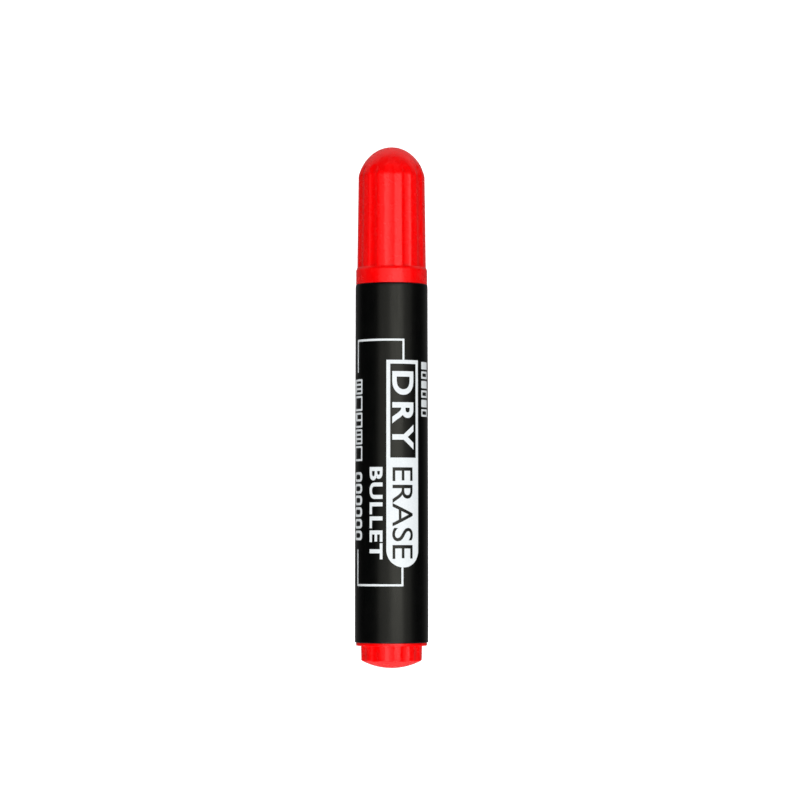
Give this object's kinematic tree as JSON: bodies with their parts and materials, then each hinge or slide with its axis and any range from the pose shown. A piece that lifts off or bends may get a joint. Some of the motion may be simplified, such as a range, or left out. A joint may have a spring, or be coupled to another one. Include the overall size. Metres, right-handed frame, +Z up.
{
  "type": "whiteboard marker",
  "caption": "Capped whiteboard marker: fluted domed cap with an inner liner, printed tube barrel, bullet nib in a snap-in holder, fibre ink reservoir and a fluted tail plug.",
  "frame": {"origin": "on the surface it lies on, under the middle of the marker's length", "axes": "+Y along the marker from the tail plug to the cap, +Z up out of the printed side, +X to the right when the print is seen from above with the cap at the top"},
  "size_m": [0.0184, 0.1304, 0.0183],
  "materials": {
    "black_plastic": "satin moulded",
    "red_plastic": "semi-gloss moulded",
    "white_plastic": "satin moulded",
    "liner_plastic": "soft translucent natural",
    "nib_fibre": "pressed fibre soaked in red ink",
    "reservoir_fibre": "bonded fibre soaked in red ink",
    "clear_film": "thin clear wrap"
  },
  "bodies": {
    "marker": {"barrel": "black_plastic", "nib_holder": "white_plastic", "nib": "nib_fibre", "ink_reservoir": "reservoir_fibre", "reservoir_film": "clear_film"},
    "cap": {"cap_shell": "red_plastic", "cap_liner": "liner_plastic"},
    "tail_plug": {"end_plug": "red_plastic"}
  },
  "joints": [
    {"name": "cap_pull", "type": "slide", "parent": "marker", "child": "cap", "axis": [0, 1, 0], "range_m": [0, 0.045]},
    {"name": "plug_pull", "type": "slide", "parent": "marker", "child": "tail_plug", "axis": [0, -1, 0], "range_m": [0, 0.02]}
  ]
}
